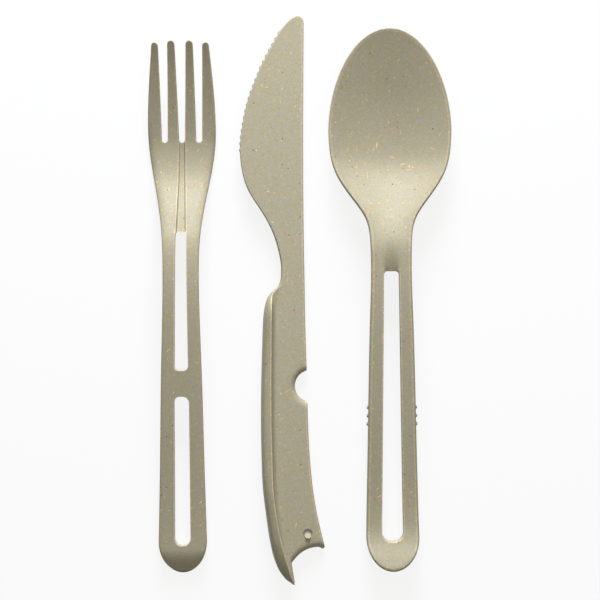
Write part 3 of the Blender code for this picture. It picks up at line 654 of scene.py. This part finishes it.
def strew(nodes, given, count, item, **turn):
    """Puts an item at even steps of the given line, as real meshes in the given finish."""
    even = nodes.add("GeometryNodeResampleCurve", Curve=given["Line"], Count=given[count])
    placed = nodes.add("GeometryNodeInstanceOnPoints", Points=even.outputs["Curve"],
                       Instance=item.outputs["Geometry"], **turn)
    real = nodes.add("GeometryNodeRealizeInstances", Geometry=placed.outputs["Instances"])
    finished = nodes.add("GeometryNodeSetMaterial", Geometry=real.outputs["Geometry"],
                         Material=given["Finish"])
    nodes.add("NodeGroupOutput", Geometry=finished.outputs["Geometry"])


def tooth_group():
    """Geometry Nodes: one small pointed tooth at each step of a line, turned to follow it."""
    tree, nodes, given = new_group("blade_teeth", Line="Geometry", Teeth="Int", Length="Float",
                                   Depth="Float", Thickness="Float", Finish="Material")
    tooth = nodes.add("GeometryNodeMeshCylinder", Vertices=3, Radius=1.0, Depth=1.0)
    side = nodes.math("DIVIDE", given["Length"], math.sqrt(3))
    size = nodes.add("ShaderNodeCombineXYZ", X=side, Y=given["Thickness"], Z=given["Depth"])
    pointed = nodes.add("GeometryNodeTransform", Geometry=tooth.outputs["Mesh"],
                        Rotation=(0, 0, math.pi / 2))
    upended = nodes.add("GeometryNodeTransform", Geometry=pointed.outputs["Geometry"],
                        Rotation=(math.pi / 2, 0, 0))
    sized = nodes.add("GeometryNodeTransform", Geometry=upended.outputs["Geometry"], Scale=size.outputs[0])
    tangent = nodes.add("GeometryNodeInputTangent").outputs[0]
    out = nodes.add("ShaderNodeVectorMath", {"operation": "CROSS_PRODUCT"}, _0=tangent, _1=(0, 0, 1))
    upright = nodes.add("FunctionNodeAlignRotationToVector", {"axis": "Z"}, Vector=out.outputs[0])
    turned = nodes.add("FunctionNodeAlignRotationToVector", {"axis": "X", "pivot_axis": "Z"},
                       Rotation=upright.outputs[0], Vector=tangent)
    strew(nodes, given, "Teeth", sized, Rotation=turned.outputs[0])
    return tree


def grown(name, line, tree, **values):
    """The mesh that a node tree grows from a line of points, with the tree's inputs by name."""
    curve = bpy.data.curves.new(name, "CURVE")
    curve.dimensions = "3D"
    spline = curve.splines.new("POLY")
    spline.points.add(len(line) - 1)
    for point, place in zip(spline.points, line):
        point.co = (*place, 1)
    source = bpy.data.objects.new(name, curve)
    bpy.context.scene.collection.objects.link(source)
    modifier = source.modifiers.new(name, "NODES")
    modifier.node_group = tree
    for item in tree.interface.items_tree:
        if item.in_out == "INPUT" and item.name in values:
            modifier[item.identifier] = values[item.name]
    mesh = bpy.data.meshes.new_from_object(source.evaluated_get(bpy.context.evaluated_depsgraph_get()))
    bpy.data.objects.remove(source)
    shape = bpy.data.objects.new(name, mesh)
    bpy.context.scene.collection.objects.link(shape)
    return shape


def make_knife():
    """The knife in millimetres, with the line of its back and the line of its rail's crest."""
    loops = [knife_outline()]
    sheet = blank(loops, inset=0.38)
    score_grid(sheet, between(0, KNIFE_LENGTH, 2 * FINE_STEP)[1:-1], between(-22, 7, 2 * FINE_STEP)[1:-1])
    for y in (*between(60.5, 77.5, NOTCH_STEP), *between(6, 16.5, NOTCH_STEP)):
        score(sheet, (0, y), (1, 0))
    for x in between(-5, 7, NOTCH_STEP):
        score(sheet, (x, 0), (0, 1), lambda centre: centre.y < 17 or 60 < centre.y < 78)

    def bullnose(x, y):
        gaps = [np.hypot(x - place[0], y - place[1]) - radius for place, radius in (
            (CROSSBAR_NOTCH_PLACE, CROSSBAR_NOTCH_RADIUS), (END_NOTCH_PLACE, END_NOTCH_RADIUS))]
        inward = np.clip(np.minimum(*gaps), 0, None)
        soft = 0.5 * crowned(inward, 1.5 * NOTCH_ROUNDING, 0.4)
        return rounded(inward, NOTCH_ROUNDING) * 0.42 * PLATE_THICKNESS / NOTCH_ROUNDING + soft

    def face(x, y, rim, hole):
        along = np.clip((y - KNIFE_HANDLE) / BLADE_BLEND, 0, 1)
        toward_edge = np.clip(-x / BLADE_WIDTH, 0, 1) * along
        half = (PLATE_THICKNESS + (BLADE_EDGE_THICKNESS - PLATE_THICKNESS) * toward_edge) / 2
        rounding = 0.5 - 0.32 * np.clip(-x / 8, 0, 1) * along
        return half - np.maximum(rounded(rim, rounding), np.minimum(bullnose(x, y), half - 0.2))

    lay_on(sheet, loops, lambda x, y: 0 * x, face, face)
    knife = as_object("knife_body", sheet)
    combine(knife, "UNION", as_object("rail", make_rail()))

    last_tooth = KNIFE_LENGTH - TEETH_TO_TIP
    teeth_line = [(blade_edge(y) * MM, y * MM, 0) for y in between(last_tooth, widest, 1.0)]
    teeth = grown("teeth", teeth_line, tooth_group(), Teeth=TOOTH_COUNT,
                  Length=(last_tooth - widest) / TOOTH_COUNT * TOOTH_OVERLAP * MM, Depth=TOOTH_DEPTH * MM,
                  Thickness=0.9 * BLADE_EDGE_THICKNESS * MM, Finish=plastic)
    combine(knife, "UNION", teeth)

    face_centre = Vector((*GATE_PLACE, PLATE_THICKNESS / 2))
    for operation, radius, (low, high), lean, down in (
            ("DIFFERENCE", GATE_RADIUS, GATE_CUT, 0, 0),
            ("UNION", GATE_NUB_RADIUS, GATE_NUB, GATE_NUB_LEAN, GATE_NUB_DOWN)):
        disc = bmesh.new()
        place = Matrix.Translation(face_centre - Vector((0, down, 0)))
        place = place @ Matrix.Rotation(math.radians(lean), 4, "X")
        bmesh.ops.create_cone(disc, cap_ends=True, segments=32, radius1=radius, radius2=radius * GATE_TAPER,
                              depth=high - low, matrix=place @ Matrix.Translation((0, 0, (low + high) / 2)))
        combine(knife, operation, as_object("gate", disc))
    # The back and the rail's crest carry painted highlight lines
    spine = [(back(y), y) for y in between(HANDLE_CORNER[1], KNIFE_LENGTH - 3.0, 2.0)]
    crest = [(ridge(y) - 0.2, y) for y in between(0.5, handle_top - 3, 2.0)]
    return knife, [spine + spine[-2:0:-1], crest + crest[-2:0:-1]]


knife, knife_rims = make_knife()
handle_corner = Vector((HANDLE_CORNER[0] - 0.3, HANDLE_CORNER[1] + 0.3, -PLATE_THICKNESS / 2))
rail_heel = Vector((RAIL_RIDGE, heel_place, -RAIL_HALF_HEIGHT))
blade_point = Vector((-1.5, KNIFE_LENGTH - 0.6, -PLATE_THICKNESS / 2))
under = (blade_point - handle_corner).cross(rail_heel - handle_corner).normalized()
# edge and lip: painted highlight lines along the knife's back and its rail's crest
settle(knife, "knife", under.rotation_difference(Vector((0, 0, 1))),
       edge=(knife_rims[:1], 0.62), lip=(knife_rims[1:], 0.0))

# The spoon: one moulding with a dished bowl, a long slot in its handle, a turned-up end and three small
# ribs on each side to grip it by.
SPOON_END = 10.0
SPOON_SLOT = 93.9
SPOON_NECK = 20.0
SPOON_BOWL_REAR = 28.3
SPOON_BOWL_FRONT = 35.5
SPOON_END_WIDTH = 18.4
SPOON_END_LENGTH = 11.6
SPOON_NECK_WIDTH = 13.9
SPOON_BOWL_WIDTH = 42.5
BOWL_FRONT_FULLNESS = 1.87
SPOON_SLOT_WIDTHS = (7.5, 5.2)
GRIP_RIB_COUNT = 3
GRIP_RIB_PITCH = 2.9
GRIP_RIB_START = 51.3
GRIP_RIB_PROUD = 0.6
GRIP_RIB_LENGTH = 1.7
GRIP_RIB_SUNK = 0.45            # how deep it is rooted in the side of the handle
GRIP_RIB_HALF_HEIGHT = 1.5
GRIP_RIB_LEAN = -0.45           # how far it leans to the handle's end, for each step outward
SPOON_END_HEIGHT = 7.0
SPOON_NECK_HEIGHT = 9.1
SPOON_TIP_HEIGHT = 8.3
BOWL_DEPTH = 6.4
BOWL_THICKNESS = 2.0
SPOON_HANDLE_THICKNESS = 4.0
SPOON_GROOVE_WIDTH = 5.1
SPOON_GROOVE_LENGTH = 13.0
SPOON_GROOVE_DEPTH = 1.6
SPOON_TURN = 0.52               # degrees that the spoon lies askew

spoon_neck = SPOON_END + SPOON_SLOT
bowl_start = spoon_neck + SPOON_NECK
bowl_widest = bowl_start + SPOON_BOWL_REAR
spoon_tip = bowl_widest + SPOON_BOWL_FRONT
half_bowl, slim = SPOON_BOWL_WIDTH / 2, SPOON_NECK_WIDTH / 2
spoon_side = fair([(SPOON_END_LENGTH, SPOON_END_WIDTH / 2), (spoon_neck - 54, 8.3),
                   (spoon_neck - 14, slim + 0.38), (spoon_neck, slim), (spoon_neck + 9, slim + 0.15),
                   (spoon_neck + 14.5, slim + 0.65), (bowl_start - 1.4, 8.9), (bowl_start + 4.1, 12.5),
                   (bowl_start + 13, 18.4), (bowl_start + 21, half_bowl - 0.5), (bowl_widest, half_bowl)])
handle_floor, bowl_floor = SPOON_HANDLE_THICKNESS / 2, BOWL_THICKNESS / 2
spoon_profile = fair([(0, SPOON_END_HEIGHT), (4.5, 5.25), (SPOON_END - 1, handle_floor + 1.4),
                      (13, handle_floor + 0.5), (SPOON_END + 9, handle_floor + 0.2),
                      (SPOON_END + 19, handle_floor + 0.6), (spoon_neck - 54, 4.4), (spoon_neck - 32, 6.42),
                      (spoon_neck - 10, SPOON_NECK_HEIGHT - 0.75), (spoon_neck + 4, SPOON_NECK_HEIGHT),
                      (spoon_neck + 9.5, SPOON_NECK_HEIGHT - 0.2), (spoon_neck + 14.5, 7.75),
                      (bowl_start + 1, 5.65), (bowl_start + 8, 3.35), (bowl_start + 13, bowl_floor + 0.85),
                      (bowl_start + 18, bowl_floor), (bowl_start + 21.5, bowl_floor - 0.04),
                      (bowl_widest + 4, bowl_floor + 0.88), (bowl_widest + 11, bowl_floor + 1.95),
                      (bowl_widest + 20, bowl_floor + 3.75), (bowl_widest + 28, bowl_floor + 5.5),
                      (spoon_tip, SPOON_TIP_HEIGHT)])
dish = fair([(spoon_neck + 2, 0), (spoon_neck + 8, 0.25), (spoon_neck + 14.5, 1.1), (bowl_start + 1, 2.65),
             (bowl_start + 8, 4.45), (bowl_start + 15, BOWL_DEPTH - 0.3), (bowl_start + 22.5, BOWL_DEPTH),
             (bowl_widest + 2, BOWL_DEPTH - 0.3), (bowl_widest + 11, 4.93), (bowl_widest + 20, 3.25),
             (spoon_tip, 0)])
spoon_depth = fair([(0, 0.85 * SPOON_HANDLE_THICKNESS), (SPOON_END_LENGTH, SPOON_HANDLE_THICKNESS),
                    (spoon_neck, SPOON_HANDLE_THICKNESS), (bowl_start, 1.4 * BOWL_THICKNESS),
                    (bowl_widest - 12, BOWL_THICKNESS), (spoon_tip, BOWL_THICKNESS)])


def spoon_half_width(y):
    """Half the spoon's width: the handle and the back of the bowl, then the bowl's rounded front."""
    front = np.clip((y - bowl_widest) / SPOON_BOWL_FRONT, 0, 1)
    return np.where(y <= bowl_widest, spoon_side(y), half_bowl * np.sqrt(1 - front ** BOWL_FRONT_FULLNESS))


def rib_group():
    """Geometry Nodes: a row of small ribs along one side, each ramped above and steep below."""
    tree, nodes, given = new_group("grip_ribs", Line="Geometry", Ribs="Int", Size="Vector",
                                   Finish="Material")
    rib = nodes.add("GeometryNodeMeshUVSphere", Segments=20, Rings=12, Radius=1.0)
    sized = nodes.add("GeometryNodeTransform", Geometry=rib.outputs["Mesh"], Scale=given["Size"])
    place = nodes.add("GeometryNodeInputPosition").outputs[0]
    parts = nodes.add("ShaderNodeSeparateXYZ", Vector=place)
    out = nodes.math("ABSOLUTE", parts.outputs["X"])
    lean = nodes.add("ShaderNodeCombineXYZ", Y=nodes.math("MULTIPLY", out, GRIP_RIB_LEAN))
    leaning = nodes.add("GeometryNodeSetPosition", Geometry=sized.outputs["Geometry"],
                        Offset=lean.outputs[0])
    strew(nodes, given, "Ribs", leaning)
    return tree


def make_spoon():
    """The spoon in millimetres, with the outlines of its rims."""
    right = arc((0, SPOON_END_LENGTH), (SPOON_END_WIDTH / 2, SPOON_END_LENGTH), -90, 0, 24)
    right += [(float(spoon_side(y)), y) for y in between(SPOON_END_LENGTH, bowl_widest, FINE_STEP)[1:]]
    turns = np.radians(np.linspace(0, 90, 49)[1:-1])
    right += [(float(spoon_half_width(y)), y) for y in bowl_widest + SPOON_BOWL_FRONT * np.sin(turns)]
    right += [(0, spoon_tip)]
    loops = [mirrored(right),
             slot(taper(SPOON_END, spoon_neck, SPOON_SLOT_WIDTHS), SPOON_END, spoon_neck, 3.2, 1.3)]
    sheet = blank(loops, inset=0.9)
    score_grid(sheet, between(0, spoon_tip, FINE_STEP)[1:-1],
               between(-half_bowl, half_bowl, FINE_STEP)[1:-1])

    def height(x, y):
        across = np.clip(np.abs(x) / np.maximum(spoon_half_width(y), 0.5), 0, 1)
        return spoon_profile(y) + dish(y) * across ** 2

    def upper(x, y, rim, hole):
        in_bowl = np.clip((y - spoon_neck - 8) / 12, 0, 1)
        along = np.clip((spoon_neck + SPOON_GROOVE_LENGTH - y) / SPOON_GROOVE_LENGTH, 0, 1)
        across = np.clip(np.abs(x) / (SPOON_GROOVE_WIDTH / 2), 0, 1)
        groove = np.where(y > spoon_neck - 1, SPOON_GROOVE_DEPTH * along ** 2 * (1 - across ** 4), 0)
        in_front = np.clip((y - bowl_widest + 8) / 14, 0, 1)
        at_end = np.clip((7 - y) / 6, 0, 1)
        rim_radius = 0.85 - 0.5 * in_front + 0.7 * at_end
        drop = np.maximum(rounded(rim, rim_radius), rounded(hole, CRISP_EDGE))
        rolled = in_bowl * np.clip((bowl_widest - 6 - y) / 14, 0, 1)
        drop += rolled * crowned(rim, 2.4, 0.6)
        return spoon_depth(y) / 2 - drop - groove

    def lower(x, y, rim, hole):
        return spoon_depth(y) / 2 - np.maximum(rounded(rim, 0.8), rounded(hole, 0.4))

    lay_on(sheet, loops, height, upper, lower)
    spoon = as_object("spoon_body", sheet)
    group = rib_group()
    for side in (-1, 1):
        line = [(side * (float(spoon_side(y)) - GRIP_RIB_SUNK) * MM, y * MM,
                 (float(spoon_profile(y)) - 0.2) * MM)
                for y in (GRIP_RIB_START, GRIP_RIB_START + (GRIP_RIB_COUNT - 1) * GRIP_RIB_PITCH)]
        size = [(GRIP_RIB_PROUD + GRIP_RIB_SUNK) * MM, GRIP_RIB_LENGTH / 2 * MM, GRIP_RIB_HALF_HEIGHT * MM]
        combine(spoon, "UNION", grown("ribs", line, group, Ribs=GRIP_RIB_COUNT, Size=size, Finish=plastic))
    return spoon, loops


spoon, spoon_rims = make_spoon()
# edge and lip: painted highlight lines along the spoon's rim and its slot
settle(spoon, "spoon", Quaternion((0, 0, 1), math.radians(SPOON_TURN)),
       edge=(spoon_rims[:1], 0.85), lip=(spoon_rims[1:], 0.25))

# The ground: a matt board that the three pieces lie on. The camera sees it near white, with a soft
# shadow under each piece, but it throws little light back at them.
BOARD_SIZE = 3.0
BOARD_COLOUR = (0.12, 0.12, 0.12, 1)
BOARD_GLOW = 0.86               # share of the board's white that the lamps and shadows don't change


def seen_by_camera(nodes):
    """1 for the camera's own rays and for what it sees in a gloss or through glass, otherwise 0."""
    path = nodes.add("ShaderNodeLightPath").outputs
    bent = nodes.math("MAXIMUM", path["Is Glossy Ray"], path["Is Transmission Ray"])
    return nodes.math("MAXIMUM", path["Is Camera Ray"], bent)


board_mesh = bpy.data.meshes.new("board")
half_board = BOARD_SIZE / 2
board_mesh.from_pydata([(-half_board, -half_board, 0), (half_board, -half_board, 0),
                        (half_board, half_board, 0), (-half_board, half_board, 0)], [], [(0, 1, 2, 3)])
board = bpy.data.objects.new("board", board_mesh)
bpy.context.scene.collection.objects.link(board)
white = bpy.data.materials.new("white_board")
white.use_nodes = True
nodes = Nodes(white.node_tree)
matt = nodes.add("ShaderNodeBsdfDiffuse", Color=BOARD_COLOUR)
glow = nodes.add("ShaderNodeEmission", Color=(1, 1, 1, 1), Strength=BOARD_GLOW)
bright = nodes.add("ShaderNodeAddShader", _0=matt.outputs[0], _1=glow.outputs[0])
mix = nodes.add("ShaderNodeMixShader", Fac=seen_by_camera(nodes), _1=matt.outputs[0], _2=bright.outputs[0])
nodes.set(white.node_tree.nodes["Material Output"], "Surface", mix.outputs[0])
board_mesh.materials.append(white)

# The light: a warm white room that is brightest overhead, a low soft box beyond the heads of the
# cutlery and a weak high one on the right.
LAMP_DISTANCE = 0.78
LAMP_COLOUR = (0.92, 0.93, 1.0)
# Each lamp: name, bearing and rise in degrees, size in metres and watts
LAMPS = (("far", 90, 20, 0.3, 13.0), ("right", 0, 65, 0.3, 0.5))
ROOM_COLOUR = (1.0, 0.98, 0.80)
ROOM_LIGHT = 0.5                # of its ceiling; the walls fade to dark at the floor

for name, bearing, rise, size, power in LAMPS:
    lamp = bpy.data.lights.new(name, "AREA")
    lamp.shape = "SQUARE"
    lamp.size = size
    lamp.energy = power
    lamp.color = LAMP_COLOUR
    holder = bpy.data.objects.new(name, lamp)
    bpy.context.scene.collection.objects.link(holder)
    flat, up = math.cos(math.radians(rise)), math.sin(math.radians(rise))
    toward = Vector((flat * math.cos(math.radians(bearing)), flat * math.sin(math.radians(bearing)), up))
    holder.location = toward * LAMP_DISTANCE
    holder.rotation_mode = "QUATERNION"
    holder.rotation_quaternion = toward.to_track_quat("Z", "Y")

world = bpy.data.worlds.new("white_room")
bpy.context.scene.world = world
world.use_nodes = True
nodes = Nodes(world.node_tree)
direct = seen_by_camera(nodes)
upward = nodes.add("ShaderNodeSeparateXYZ", Vector=nodes.add("ShaderNodeTexCoord").outputs["Generated"])
ceiling = nodes.math("POWER", nodes.math("MAXIMUM", upward.outputs["Z"], 0.0), 2.0)
room = nodes.math("MULTIPLY", ceiling, ROOM_LIGHT)
strength = nodes.add("ShaderNodeMapRange", Value=direct, To_Min=room, To_Max=1.0)
background = world.node_tree.nodes["Background"]
nodes.set(background, "Color", nodes.blend(direct, ROOM_COLOUR, (1.0, 1.0, 1.0)))
nodes.set(background, "Strength", strength.outputs["Result"])

# The camera looks straight down on the middle of the picture.
PIXEL = 0.00035                 # metres to a pixel on the ground
PICTURE_PIXELS = 600
CAMERA_HEIGHT = 0.56
PICTURE_MIDDLE = (0.000323, -0.000242)

camera = bpy.data.cameras.new("camera")
camera.sensor_width = 36
camera.lens = camera.sensor_width * CAMERA_HEIGHT / (PICTURE_PIXELS * PIXEL)
eye = bpy.data.objects.new("camera", camera)
bpy.context.scene.collection.objects.link(eye)
eye.location = (*PICTURE_MIDDLE, CAMERA_HEIGHT)
bpy.context.scene.camera = eye
bpy.context.scene.view_settings.view_transform = "Standard"
